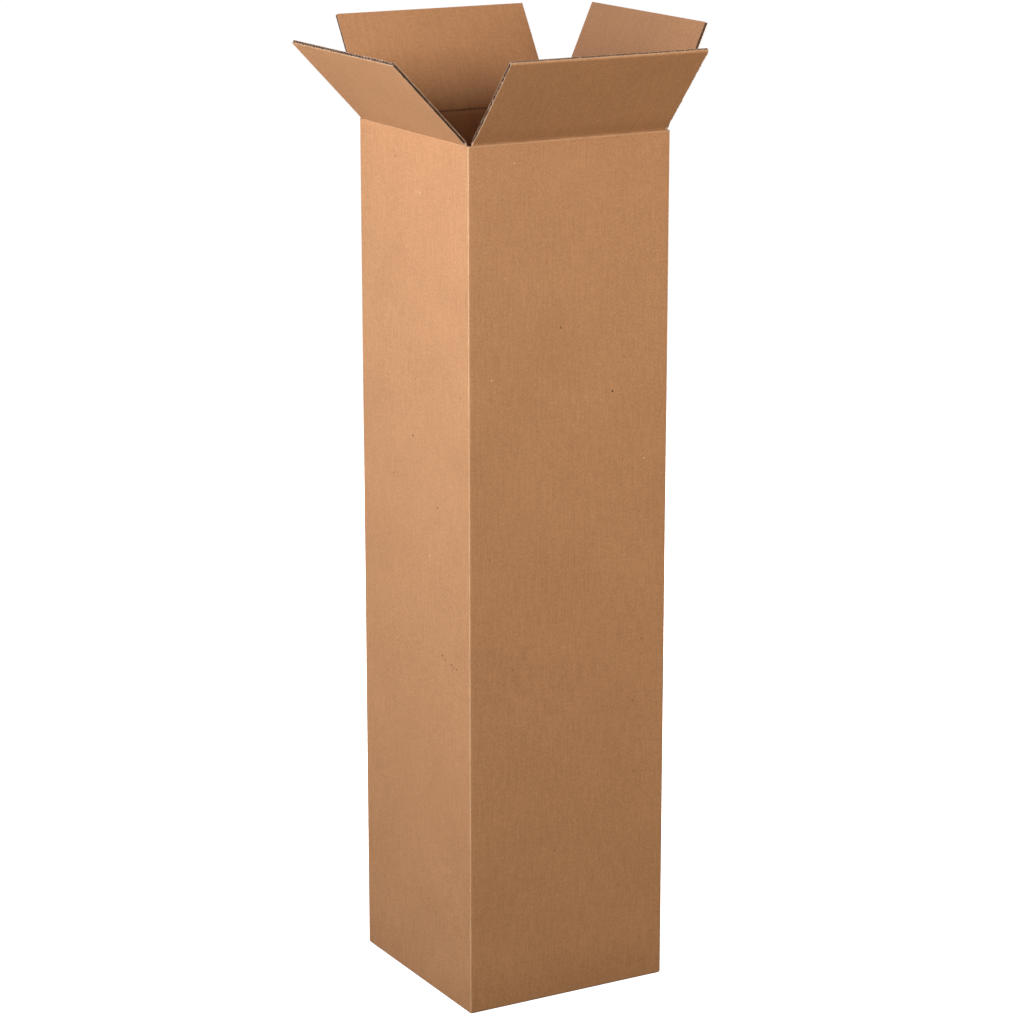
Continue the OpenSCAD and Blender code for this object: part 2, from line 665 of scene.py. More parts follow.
# The larger flecks: mm right of the side's middle, mm up, size in mm, and strength, below 0 for a pale one.
FLECK_ROWS = {
    Side.FRONT: (
        (-15, 972, 1.3, 0.75), (87, 920, 1.0, 0.5), (68, 875, 1.7, 0.9), (-126, 660, 1.0, 0.5),
        (-100, 545, 0.9, 0.5), (119, 512, 1.1, 0.6), (119, 490, 0.9, 0.5), (-148, 518, 1.0, 0.5),
        (-90, 497, 1.0, 0.5), (105, 423, 1.1, 0.6), (145, 413, 1.0, 0.5), (108, 317, 1.2, 0.6),
        (-49, 296, 1.0, 0.5), (-21, 220, 1.2, 0.6), (84, 149, 1.1, 0.6), (-16, 1071, 0.9, 0.4),
        (-106, 1153, 0.9, 0.4), (-122, 910, 1.4, -0.6), (-87, 1202, 1.2, -0.5), (76, 1132, 1.0, -0.4),
        (120, 774, 1.4, -0.5),
    ),
    Side.LEFT: (
        (-49, 1190, 1.6, 0.5), (-4, 805, 2.0, 0.7), (-63, 739, 1.6, 0.5), (67, 717, 1.8, 0.6),
        (5, 887, 1.5, 0.4), (135, 885, 1.5, 0.4), (-12, 477, 1.5, 0.4), (79, 508, 1.5, 0.7),
        (88, 504, 1.4, 0.7), (105, 501, 1.5, 0.8), (111, 498, 1.3, 0.7), (120, 498, 1.4, 0.6),
        (22, 1149, 1.6, -0.5), (43, 643, 1.6, -0.5),
    ),
}
FLECKS = tuple(
    Fleck(side, x * MM, z * MM, size * MM, strength)
    for side, rows in FLECK_ROWS.items()
    for x, z, size, strength in rows
)


@dataclass(frozen=True)
class KraftLiner:
    """Face of a brown kraft liner: cloudy pulp, long fibres, bark specks, the flutes showing through, a
    painted shade in the score's crease and pale lines that are partly wear and partly painted highlight.

    Its wear, highlight and show fields are shares of the colour, and each line is a span of distances from
    its middle, over which the pale line or the painted shade fades.
    The left and back panels keep only a small share of their scores' pale line, whose painted highlight is
    set weaker on them.
    """

    name: str
    colour: Triple
    deep: Triple
    pale: Triple
    worn_and_highlight: Triple
    # Share of the painted shade that darkens the score's crease, and its height above the score.
    crease: float
    crease_shade_at: float
    blank: Blank
    pitch: float
    seed: float = 0.0
    # Shares of the pale lines on the folds, scores and cut edges, partly wear and partly painted highlight;
    # the left and back panels keep a smaller share of the score line.
    fold_wear_and_highlight: float = 0.0
    score_wear_and_highlight: float = 0.0
    left_highlight_share: float = 0.1
    edge_wear_and_highlight: float = 0.6
    flute_show: float = 0.05
    fibre_show: float = 0.22
    gloss: float = 0.28
    relief: float = 0.1 * MM
    # Height below the score of its pale line, a painted highlight on the lip with some wear.
    score_highlight_at: float = 1.1 * MM
    edge_from: float = 2.0 * MM
    bark: Specks = Specks(70.0, 0.965, 0.06, 0.35)
    lint: Specks = Specks(60.0, 0.96, 0.07, 0.3, (3.1, 1.7, 0.0))
    flecks: tuple[Fleck, ...] = ()

    TONE = {Grain.CLOUD: 0.15, Grain.MOTTLE: 0.2, Grain.FINE: 0.4, Grain.UPRIGHT: 0.25}
    TONE_SPAN = (0.36, 0.64)
    FIBRE_SPAN = (0.4, 0.75)
    ROUGHNESS = (0.66, 0.78)
    HEIGHT = {Grain.FIBRE: 0.3, Grain.FINE: 0.4}
    FLUTE_HEIGHT = -0.55
    FLUTE_STRENGTH = (0.35, 1.0)
    FLUTE_SHARPNESS = 2.0
    CREASE_LINE = (0.3 * MM, 1.0 * MM)
    CREASE_STRENGTH = (0.6, 1.0)
    FOLD_LINE = (0.2 * MM, 1.4 * MM)
    SCORE_LINE = (0.4 * MM, 1.2 * MM)
    CUT_LINE = (0.3 * MM, 1.1 * MM)
    WEAR_AND_HIGHLIGHT_SPAN = (0.25, 0.6)
    WEAR_AND_HIGHLIGHT_STRENGTH = (0.4, 1.0)
    LEFT_TO_FRONT = (-0.52, -0.48)

    def make(self) -> Material:
        """Builds the material on the blank's UV map.

        Returns:
            The finished material.
        """
        g = Shading(self.name)
        place = g.node("ShaderNodeUVMap", uv_map=BLANK_UV).outputs[0]
        moved = g.vector("ADD", place, (self.seed,) * 3)
        u, v = g.split(place)
        paper = {grain: g.noise(moved, grain) for grain in (*self.TONE, Grain.FIBRE)}
        flute = self._flutes(g, u, moved)

        tone = self._sum(g, paper, self.TONE, 0.0)
        colour = g.mix(g.ramp(tone, self.TONE_SPAN), self.deep, self.colour)
        fibre = g.ramp(paper[Grain.FIBRE], self.FIBRE_SPAN, (0.0, self.fibre_show))
        colour = g.mix(fibre, colour, self.pale)
        colour = g.mix(g.math("MULTIPLY", flute, self.flute_show), colour, self.deep)
        colour = g.mix(self.bark.mask(g, moved), colour, BARK_AND_SHADE)
        colour = g.mix(self.lint.mask(g, moved), colour, self.worn_and_highlight)
        for fleck in self.flecks:
            tint = self.worn_and_highlight if fleck.strength < 0 else BARK_AND_SHADE
            colour = g.mix(fleck.mask(g, place, self.blank), colour, tint)
        # Painted shade: darkens a thin line in the crease of the top score.
        colour = g.mix(self._crease_shade(g, v, moved), colour, BARK_AND_SHADE)
        # Pale lines, partly wear and partly painted highlight, on the folds, under the scores and along the
        # cut edges.
        colour = g.mix(self._wear_and_highlight(g, u, v, moved), colour, self.worn_and_highlight)

        height = self._sum(g, paper, self.HEIGHT, g.math("MULTIPLY", flute, self.FLUTE_HEIGHT))
        roughness = g.ramp(paper[Grain.MOTTLE], MIDDLE, self.ROUGHNESS)
        return g.finish(colour, roughness, self.gloss, height, self.relief)

    @staticmethod
    def _sum(g: Shading, paper: dict[Grain, Socket], shares: dict[Grain, float], start: object) -> Socket:
        """Adds up shares of some texture layers.

        Args:
            g: The material's tree.
            paper: The texture layers.
            shares: Each layer's share.
            start: What they are added to.

        Returns:
            The sum.
        """
        for grain, share in shares.items():
            start = g.math("MULTIPLY_ADD", paper[grain], share, start)
        return start

    def _flutes(self, g: Shading, u: Socket, moved: Socket) -> Socket:
        """Finds the faint dark lines over the flute tips, stronger in some places than in others.

        Args:
            g: The material's tree.
            u: Place along the blank.
            moved: The place that the textures are read at.

        Returns:
            The lines' strength, from 0 to 1.
        """
        phase = g.math("MULTIPLY", u, 2 * math.pi / self.pitch)
        wave = g.math("MULTIPLY_ADD", g.math("COSINE", phase), 0.5, 0.5)
        strength = g.ramp(g.noise(moved, Grain.FLUTE_DRIFT), MIDDLE, self.FLUTE_STRENGTH)
        return g.math("MULTIPLY", g.math("POWER", wave, self.FLUTE_SHARPNESS), strength)

    def _crease_shade(self, g: Shading, v: Socket, moved: Socket) -> Socket:
        """Finds the painted shade: a dark line in the crease of the top score.

        Args:
            g: The material's tree.
            v: Height on the blank.
            moved: The place that the textures are read at.

        Returns:
            The line's share of the colour.
        """
        off = g.math("ABSOLUTE", g.math("SUBTRACT", v, self.blank.score_z + self.crease_shade_at))
        uneven = g.ramp(g.noise(moved, Grain.CREASE_DRIFT), MIDDLE, self.CREASE_STRENGTH)
        return g.math("MULTIPLY", g.ramp(off, self.CREASE_LINE, (self.crease, 0.0)), uneven)

    def _wear_and_highlight(self, g: Shading, u: Socket, v: Socket, moved: Socket) -> Socket:
        """Finds the pale lines on the folds, under the top scores and along the flaps' cut edges, partly
        wear from rubbing and partly painted highlight.

        Args:
            g: The material's tree.
            u: Place along the blank.
            v: Height on the blank.
            moved: The place that the textures are read at.

        Returns:
            The pale lines' share of the colour, as wear and painted highlight.
        """
        blank = self.blank
        wear_and_highlight_strength = g.ramp(g.noise(moved, Grain.WEAR_AND_HIGHLIGHT), self.WEAR_AND_HIGHLIGHT_SPAN, self.WEAR_AND_HIGHLIGHT_STRENGTH)
        panels = g.math("DIVIDE", u, blank.width)
        column = g.math("FRACT", g.math("ADD", panels, float(2 * len(Side))))
        to_fold = g.math("MULTIPLY", g.math("ABSOLUTE", g.math("SUBTRACT", column, 0.5)), blank.width)
        fold = g.ramp(to_fold, self.FOLD_LINE, (self.fold_wear_and_highlight, 0.0))
        to_score = g.math("ABSOLUTE", g.math("SUBTRACT", v, blank.score_z - self.score_highlight_at))
        score = g.ramp(to_score, self.SCORE_LINE, (self.score_wear_and_highlight, 0.0))
        # The score's painted highlight is kept weaker on the left and back panels.
        score = g.math("MULTIPLY", score, g.ramp(panels, self.LEFT_TO_FRONT, (self.left_highlight_share, 1.0)))
        to_side = g.math("SUBTRACT", to_fold, blank.inset)
        to_end = g.math("SUBTRACT", blank.score_z + blank.flap_l, v)
        to_cut = g.math("MINIMUM", to_side, to_end)
        edge = g.ramp(to_cut, self.CUT_LINE, (self.edge_wear_and_highlight, 0.0))
        edge = g.math("MULTIPLY", edge, g.math("GREATER_THAN", v, blank.score_z + self.edge_from))
        return g.math("MULTIPLY", g.math("MAXIMUM", g.math("MAXIMUM", fold, score), edge), wear_and_highlight_strength)


@dataclass(frozen=True)
class CutPaper:
    """Raw edge or inside of the board, where the knife has left short loose fibres."""

    name: str
    colour: Triple
    dark: Triple
    pale: Triple
    pale_share: float
    dullness: float = 0.85
    gloss: float = 0.2
    relief: float = 0.15 * MM

    PALE_SPAN = (0.45, 0.75)

    def make(self) -> Material:
        """Builds the material on object coordinates.

        Returns:
            The finished material.
        """
        g = Shading(self.name)
        place = g.node("ShaderNodeTexCoord").outputs["Object"]
        fibre = g.noise(place, Grain.TORN)
        colour = g.mix(g.ramp(g.noise(place, Grain.MOTTLE), MIDDLE), self.dark, self.colour)
        colour = g.mix(g.ramp(fibre, self.PALE_SPAN, (0.0, self.pale_share)), colour, self.pale)
        return g.finish(colour, self.dullness, self.gloss, fibre, self.relief)


@dataclass
class Palette:
    """All the finishes of the carton."""

    board: Board
    blank: Blank

    def __post_init__(self) -> None:
        """Makes each material once."""
        pitch = self.blank.flap_w / self.board.flutes
        # The outer liner gets a painted shade in the score's crease and pale lines of wear and painted
        # highlight; the inner one a painted shade in its crease.
        outer = KraftLiner(
            "kraft_outer", colour=(0.61, 0.287, 0.12), deep=(0.47, 0.215, 0.085), pale=(0.63, 0.315, 0.145),
            worn_and_highlight=(0.84, 0.54, 0.31), crease=0.5, crease_shade_at=0.9 * MM, blank=self.blank, pitch=pitch,
            fold_wear_and_highlight=0.5, score_wear_and_highlight=0.25, flecks=FLECKS)
        inner = KraftLiner(
            "kraft_inner", colour=(0.60, 0.28, 0.118), deep=(0.47, 0.215, 0.087), pale=(0.62, 0.31, 0.145),
            worn_and_highlight=(0.70, 0.41, 0.22), crease=0.6, crease_shade_at=0.0, blank=self.blank, pitch=pitch,
            seed=11.3, flute_show=0.08, edge_wear_and_highlight=0.15)
        cut = CutPaper(
            "kraft_cut", colour=(0.62, 0.38, 0.23), dark=(0.46, 0.26, 0.15), pale=(0.84, 0.63, 0.46),
            pale_share=0.8)
        flute = CutPaper(
            "kraft_flute", colour=(0.22, 0.115, 0.06), dark=(0.13, 0.065, 0.035), pale=(0.34, 0.20, 0.12),
            pale_share=0.4)
        self.outer, self.inner = outer.make(), inner.make()
        self.cut, self.flute = cut.make(), flute.make()

    @property
    def skins(self) -> list[Material]:
        """The materials in the order of Skin."""
        return [self.outer, self.inner, self.cut, self.flute]


class GeometryTree(Graph):
    """A Geometry Nodes tree with named inputs, run once to give a plain mesh."""

    def __init__(self, name: str, inputs: dict[str, tuple[str, object]]) -> None:
        """Starts the tree.

        Args:
            name: Name of the tree.
            inputs: Each input's name, with its kind and its first value.
        """
        super().__init__(bpy.data.node_groups.new(name, "GeometryNodeTree"))
        self.ids: dict[str, str] = {}
        interface = self.tree.interface
        for label, (kind, value) in inputs.items():
            socket = interface.new_socket(name=label, in_out="INPUT", socket_type=f"NodeSocket{kind}")
            socket.default_value = value
            self.ids[label] = socket.identifier
        interface.new_socket(name="Geometry", in_out="OUTPUT", socket_type="NodeSocketGeometry")
        self.input = self.node("NodeGroupInput")

    def given(self, label: str) -> Socket:
        """Returns the socket of a named input."""
        return self.input.outputs[label]

    def end(self, geometry: Socket, material: Material, selection: object = True) -> None:
        """Ends the tree in Realize Instances and Set Material.

        Args:
            geometry: What the tree has made.
            material: Its material.
            selection: The faces that get it.
        """
        real = self.node("GeometryNodeRealizeInstances", {"Geometry": geometry})
        painted = self.node("GeometryNodeSetMaterial", {
            "Geometry": real.outputs[0], "Selection": selection, "Material": material,
        })
        self.node("NodeGroupOutput", {0: painted.outputs[0]})

    def run(self, values: dict[str, object]) -> Mesh:
        """Evaluates the tree with some inputs and returns a plain mesh.

        Args:
            values: Values of the inputs, by name.

        Returns:
            The mesh that the tree makes, with its materials.
        """
        holder = bpy.data.objects.new("holder", bpy.data.meshes.new("holder"))
        bpy.context.scene.collection.objects.link(holder)
        modifier = holder.modifiers.new("made", "NODES")
        modifier.node_group = self.tree
        for label, value in values.items():
            modifier[self.ids[label]] = value
        bpy.context.view_layer.update()
        evaluated = holder.evaluated_get(bpy.context.evaluated_depsgraph_get())
        mesh = bpy.data.meshes.new_from_object(evaluated)
        holder.modifiers.remove(modifier)
        bpy.data.objects.remove(holder)
        return mesh


class FlutedMedium:
    """The wavy paper between two liners, corrugated by a rule from its width and number of flutes."""

    STEPS = 10
    SWAY = 0.6 * MM
    SWAY_FINENESS = 60.0
    SWAY_DETAIL = 2.0
    MERGE = 0.01 * MM

    def __init__(self, board: Board, material: Material, cut: Material) -> None:
        """Builds the tree.

        Args:
            board: The board's thicknesses and flutes.
            material: The medium's finish.
            cut: Finish of its cut ends.
        """
        self.amplitude = board.amplitude
        g = self.tree = GeometryTree("fluted medium", {
            "Width": ("Float", 0.3), "Length": ("Float", 0.15), "Flutes": ("Int", board.flutes),
            "Rows": ("Int", 12), "Amplitude": ("Float", board.amplitude),
            "Thickness": ("Float", board.medium), "Wobble": ("Float", self.SWAY), "Seed": ("Float", 0.0),
        })
        width, flutes, thickness = g.given("Width"), g.given("Flutes"), g.given("Thickness")
        across = g.math("MULTIPLY_ADD", flutes, float(self.STEPS), 1.0)
        sheet = g.node("GeometryNodeMeshGrid", {
            "Size X": width, "Size Y": g.given("Length"),
            "Vertices X": across, "Vertices Y": g.given("Rows"),
        })
        where = g.node("GeometryNodeInputPosition").outputs[0]
        turns = g.math("MULTIPLY", g.math("DIVIDE", g.split(where)[0], width), flutes)
        phase = g.math("MULTIPLY", g.math("MULTIPLY_ADD", flutes, 0.5, turns), 2 * math.pi)
        wave = g.math("MULTIPLY", g.math("COSINE", phase), g.math("MULTIPLY", g.given("Amplitude"), -1.0))
        lift = g.math("MULTIPLY_ADD", thickness, -0.5, wave)
        lean = g.node("ShaderNodeTexNoise", {
            "Vector": where, "W": g.given("Seed"), "Scale": self.SWAY_FINENESS, "Detail": self.SWAY_DETAIL,
        }, noise_dimensions="4D")
        sway = g.math("MULTIPLY", g.math("SUBTRACT", lean.outputs[0], 0.5), g.given("Wobble"))
        moved = {"Geometry": sheet.outputs[0], "Offset": g.xyz(sway, 0.0, lift)}
        waved = g.node("GeometryNodeSetPosition", moved).outputs[0]
        raised = g.node("GeometryNodeExtrudeMesh", {
            "Mesh": waved, "Offset Scale": thickness, "Individual": False,
        })
        under = g.node("GeometryNodeFlipFaces", {"Mesh": waved}).outputs[0]
        both = g.node("GeometryNodeJoinGeometry")
        for shell in (raised.outputs[0], under):
            g.tree.links.new(shell, both.inputs[0])
        merged = {"Geometry": both.outputs[0], "Distance": self.MERGE}
        closed = g.node("GeometryNodeMergeByDistance", merged)
        papered = g.node("GeometryNodeSetMaterial", {"Geometry": closed.outputs[0], "Material": material})
        g.end(papered.outputs[0], cut, raised.outputs["Side"])

    def sheet(self, width: float, length: float, flutes: int, rows: int, seed: float,
              flip: bool = False) -> Mesh:
        """Makes one flat corrugated sheet.

        Args:
            width: Width across the flutes.
            length: Length along them.
            flutes: Number of whole flutes.
            rows: Rows of points along the flutes.
            seed: Seed of the flutes' sway.
            flip: Whether both edges have a flute tip on the inner side instead of the outer one.

        Returns:
            The flat sheet, with its middle at the origin.
        """
        return self.tree.run({
            "Width": width, "Length": length, "Flutes": flutes, "Rows": rows, "Seed": float(seed),
            "Amplitude": self.amplitude * (-1 if flip else 1),
        })


class FrayedEdge:
    """Torn bits of paper along a knife-cut edge, scattered by a rule with a fixed seed.

    A bit slides along by steps, lies between the depth behind the edge and the reach past it, mostly near
    one of the liners, and turns by up to its turns about the three axes.
    """

    SPACING = 2.0 * MM
    REACH = 0.35 * MM
    DEPTH = 0.7 * MM
    ROUGH_SPACING = 0.9 * MM
    ROUGH_REACH = 0.8 * MM
    ROUGH_GROWTH = 1.7
    SLIDE = 1.5
    BETWEEN_LINERS = (0.3, 0.7)
    NEAR_LINERS = (0.08, 0.92)
    LENGTHS = (0.4 * MM, 2.2 * MM)
    WIDTHS = (0.25 * MM, 0.9 * MM)
    PAPER = 0.16 * MM
    TURNS = (0.6, 0.5, 0.7)
    FIRST_SEED = 5
    STREAMS = 31.0

    def __init__(self, material: Material) -> None:
        """Builds the tree.

        Args:
            material: Finish of the torn paper.
        """
        g = self.tree = GeometryTree("frayed edge", {
            "Count": ("Int", 200), "Step": ("Float", self.SPACING), "Thickness": ("Float", 5.0 * MM),
            "Reach": ("Float", self.REACH), "Depth": ("Float", self.DEPTH), "Seed": ("Int", 1),
            "Growth": ("Float", 1.0),
        })
        step, depth = g.given("Step"), g.given("Depth")
        line = g.node("GeometryNodeMeshLine", {"Count": g.given("Count"), "Offset": g.xyz(step)}).outputs[0]
        along = self._random(g, (-self.SLIDE, self.SLIDE), 0)
        out = g.math("MULTIPLY", self._random(g, (0.0, 1.0), 1), g.math("ADD", g.given("Reach"), depth))
        through = g.ramp(self._random(g, (0.0, 1.0), 2), self.BETWEEN_LINERS, self.NEAR_LINERS)
        offset = g.xyz(g.math("MULTIPLY", along, step), g.math("SUBTRACT", out, depth),
                       g.math("MULTIPLY", through, g.given("Thickness")))
        spread = g.node("GeometryNodeSetPosition", {"Geometry": line, "Offset": offset}).outputs[0]
        size = g.xyz(self._random(g, self.LENGTHS, 3), self._random(g, self.WIDTHS, 4), self.PAPER)
        grown = g.node("ShaderNodeVectorMath", {0: size, "Scale": g.given("Growth")}, operation="SCALE")
        turn = g.xyz(*(self._random(g, (-most, most), 5 + axis) for axis, most in enumerate(self.TURNS)))
        bit = g.node("GeometryNodeMeshCube", {"Size": (1.0, 1.0, 1.0)}).outputs[0]
        bits = g.node("GeometryNodeInstanceOnPoints", {
            "Points": spread, "Instance": bit, "Rotation": turn, "Scale": grown.outputs[0],
        })
        g.end(bits.outputs[0], material)

    def _random(self, g: GeometryTree, span: Span, stream: int) -> Socket:
        """Draws a random number for each point.

        Args:
            g: The tree.
            span: Its least and greatest value.
            stream: The stream of the seed that it comes from.

        Returns:
            The number.
        """
        seed = g.math("MULTIPLY_ADD", g.given("Seed"), self.STREAMS, float(stream))
        drawn = g.node("FunctionNodeRandomValue", {2: span[0], 3: span[1], "Seed": seed}, data_type="FLOAT")
        return drawn.outputs[1]

    def bits(self, length: float, thick: float, seed: int, rough: bool) -> Mesh:
        """Makes the bits along one straight edge, which lies on X and faces +Y.

        Args:
            length: Length of the edge.
            thick: Thickness of the board.
            seed: Seed of the scatter.
            rough: Whether the edge is torn more than the others.

        Returns:
            The bits as one mesh.
        """
        count = round(length / (self.ROUGH_SPACING if rough else self.SPACING))
        seed += self.FIRST_SEED
        values = {"Count": count, "Step": length / count, "Thickness": thick, "Seed": seed}
        if rough:
            values |= {"Reach": self.ROUGH_REACH, "Growth": self.ROUGH_GROWTH}
        return self.tree.run(values)


@dataclass
class BoardPart:
    """A part of the carton, with the blank that it is cut from, its board and its finishes."""

    blank: Blank
    board: Board
    palette: Palette

    def bend(self, mesh: Mesh, place: Callable[..., Array], along: float, up: float) -> None:
        """Bends a flat fluted sheet into the middle of the board.

        Args:
            mesh: The sheet, with its middle at the origin.
            place: Gives a point of the part from its place along, its depth and its place up.
            along: Where the sheet's middle lies along the part.
            up: Where it lies up the part.
        """
        map_mesh(mesh, lambda x, y, z: place(x + along, z + self.board.thick / 2, y + up))

    @staticmethod
    def on_carton(piece: Piece) -> Piece:
        """Sets a piece on the carton's body.

        Args:
            piece: The piece.

        Returns:
            The same piece.
        """
        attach(piece, CARTON)
        return piece


@dataclass
class Flap(BoardPart):
    """One top flap: bent liners that carry on from the panel, and the fluted medium between them."""

    side: Side
    path_step: float = 0.1 * MM
    passes: int = 3
    margin: float = 2.0 * MM
    setback: float = 0.15 * MM
    short: float = 0.05 * MM
    hinge_play: float = 1.0 * MM
    fray_from: float = 12.0 * MM
    roll_fade: float = 5.0 * MM
    blunt_roll: float = 2.2 * MM
    sharp_roll: float = 0.5 * MM
    tucked_rows: int = 6
    flat_rows: int = 7
    flute_rows: int = 28

    @property
    def rolled(self) -> float:
        """How far the outer liner is pressed over the free edge, most by the front flap's blunt cut."""
        return self.blunt_roll if self.side is Side.FRONT else self.sharp_roll

    def __post_init__(self) -> None:
        """Reads the flap's opening, pivot and reach from the frame and works out its bent outline."""
        joint = next(joint for joint in frame["joints"] if joint["child"] == self.side.body)
        self.open = -math.radians(joint["range_deg"][0]) - QUARTER_TURN
        self.rise = joint["pos_m"][2] - self.blank.score_z
        low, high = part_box(self.side.body)
        reach = max(abs(c) for corner in (low, high) for c in corner.xy) - self.blank.half
        length = reach / math.sin(self.open) - self.short
        ahead = np.array([-math.sin(self.open), math.cos(self.open)])
        self.tip = ahead * length + np.array([0.0, self.rise])
        self.tuck = max(self.rise, 0.0) * math.sin(self.open)
        self._trace()

    def _trace(self) -> None:
        """Works out the outer face's outline in the plane across the score, y inwards and z up.

        The outline runs straight from the score's bend to the CAD flap's tip, whose pivot lies a little
        above or below the score.
        """
        half = self.board.bend_half
        bend = np.arange(-half, half, self.path_step)
        slope = self.open
        for _ in range(self.passes):
            turned = slope * smoothstep((bend + half) / (2 * half))
            step = np.stack([-np.sin(turned), np.cos(turned)], axis=-1) * self.path_step
            line = np.concatenate([[[0.0, -half]], np.cumsum(step, axis=0) + [0.0, -half]])
            gap = self.tip - line[-1]
            slope = math.atan2(-gap[0], gap[1])
        self.length = half + float(np.hypot(*gap))
        flat = self.blank.strip + self.margin
        self.s = np.concatenate([[-flat], np.append(bend, half), [self.length]])
        self.line = np.concatenate([[[0.0, -flat]], line, [self.tip]])
        self.slope = np.concatenate([[0.0], np.append(turned, slope), [slope]])

    def place(self, x: Array, t: Array, s: Array) -> Array:
        """Bends points of the flat flap into place.

        Args:
            x: Distance along the score from the side's middle.
            t: Depth in the board, from 0 at the outer face to its full thickness.
            s: Distance from the score, below 0 on the panel.

        Returns:
            The points in the row frame.
        """
        slope = np.interp(s, self.s, self.slope)
        past = smoothstep((s - self.board.solid) / self.roll_fade)
        roll = self.board.roll(t, self.rolled, self.length - s, self.blank.flap_w / 2 - np.abs(x))
        depth = self.board.depth(t, s, self.tuck) + past * roll
        y = np.interp(s, self.s, self.line[:, 0]) + depth * np.cos(slope)
        z = np.interp(s, self.s, self.line[:, 1]) + depth * np.sin(slope)
        return self.side.world(x, y - self.blank.half, z + self.blank.score_z)

    def levels(self) -> Array:
        """Lists the rows of points up the liners.

        Returns:
            Their distances from the score.
        """
        near = self.board.near_score
        panel = -np.append(near[1:], self.blank.strip)[::-1]
        edge = self.length - self.board.near_edge
        tucked = np.linspace(near[-1], self.board.tuck_spread, self.tucked_rows)[1:]
        flat = np.linspace(tucked[-1], edge[0], self.flat_rows)[1:-1]
        return np.concatenate([panel, near, tucked, flat, edge])

    def liners(self) -> Piece:
        """Makes both liners, joined by the crushed board at the score, and blends them across it.

        Returns:
            The finished piece, which stands for the flap's CAD node.
        """
        edge = self.blank.flap_w / 2 - self.board.near_edge
        x = np.concatenate([-edge[::-1], np.linspace(-edge[0], edge[0], 2 * self.board.flutes)[1:-1], edge])
        s = self.levels()
        grid_x, grid_t, grid_s = np.meshgrid(x, self.board.layers, s, indexing="ij")
        rise = grid_s * self.blank.flap_l / self.length
        uv = np.stack([self.blank.along(self.side, grid_x), self.blank.score_z + rise], axis=-1)
        filled = BoardGrid.cells(grid_x)
        filled[:, BoardGrid.CORE, s[:-1] >= self.board.solid - CLOSE] = False
        grid = BoardGrid(self.place(grid_x, grid_t, grid_s), uv, filled)
        piece = grid.build(f"{self.side.label}_flap_liners", self.palette.skins)
        hinge = (min(self.rise, 0.0) - self.hinge_play, self.board.solid)
        start, end = (self.place(np.zeros(1), np.zeros(1), np.full(1, s))[0] for s in hinge)
        self.side.body
        tuple(start)
        tuple(end)
        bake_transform(piece)
        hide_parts(self.side.body)
        return piece

    def flutes(self, medium: FlutedMedium) -> Piece:
        """Makes the fluted medium between the liners.

        Args:
            medium: The Geometry Nodes tree that corrugates a sheet.

        Returns:
            The finished piece, riding on the flap.
        """
        start, end = self.board.solid, self.length - self.setback
        mesh = medium.sheet(self.blank.flap_w, end - start, self.board.flutes, self.flute_rows,
                            self.side.column, flip=self.side is Side.LEFT)
        self.bend(mesh, self.place, 0.0, (start + end) / 2)
        return self._riding(mesh, "flutes")

    def fray(self, edge: FrayedEdge) -> Piece:
        """Makes the torn bits of paper along the three cut edges.

        Args:
            edge: The Geometry Nodes tree that scatters the bits along an edge.

        Returns:
            The finished piece, riding on the flap.
        """
        around = 2 * (self.length - self.fray_from) + self.blank.flap_w
        mesh = edge.bits(around, self.board.thick, self.side.column, self.side is Side.FRONT)
        map_mesh(mesh, self._round_the_edges)
        return self._riding(mesh, "fray")

    def _round_the_edges(self, along: Array, out: Array, t: Array) -> Array:
        """Wraps points on a straight edge round the flap's left side, free edge and right side.

        Args:
            along: Distance along the three edges.
            out: Distance out from them.
            t: Depth in the board.

        Returns:
            The points in the row frame.
        """
        half, start, end = self.blank.flap_w / 2, self.fray_from, self.length
        side = end - start
        left, right = along < side, along > side + 2 * half
        x = np.where(left, -half - out, np.where(right, half + out, along - side - half))
        s = np.where(left, start + along, np.where(right, 2 * side + 2 * half - along + start, end + out))
        return self.place(x, np.clip(t, 0.0, self.board.thick), np.minimum(s, end))

    def _riding(self, mesh: Mesh, what: str) -> Piece:
        """Links a finished mesh as a piece that rides on the flap.

        Args:
            mesh: The mesh, with its materials.
            what: What it is, for its name.

        Returns:
            The piece.
        """
        piece = finish_mesh(mesh, f"{self.side.label}_flap_{what}")
        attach(piece, self.side.body)
        return piece


class Station(NamedTuple):
    """A place along the folded strip, with its outer and inner point in plan and its place on the blank.

    The board after it is tall where it ends in a slot at the score's height. Elsewhere it ends lower, where
    a flap's liners carry on.
    """

    outer: Array
    inner: Array
    u: float
    tall: bool


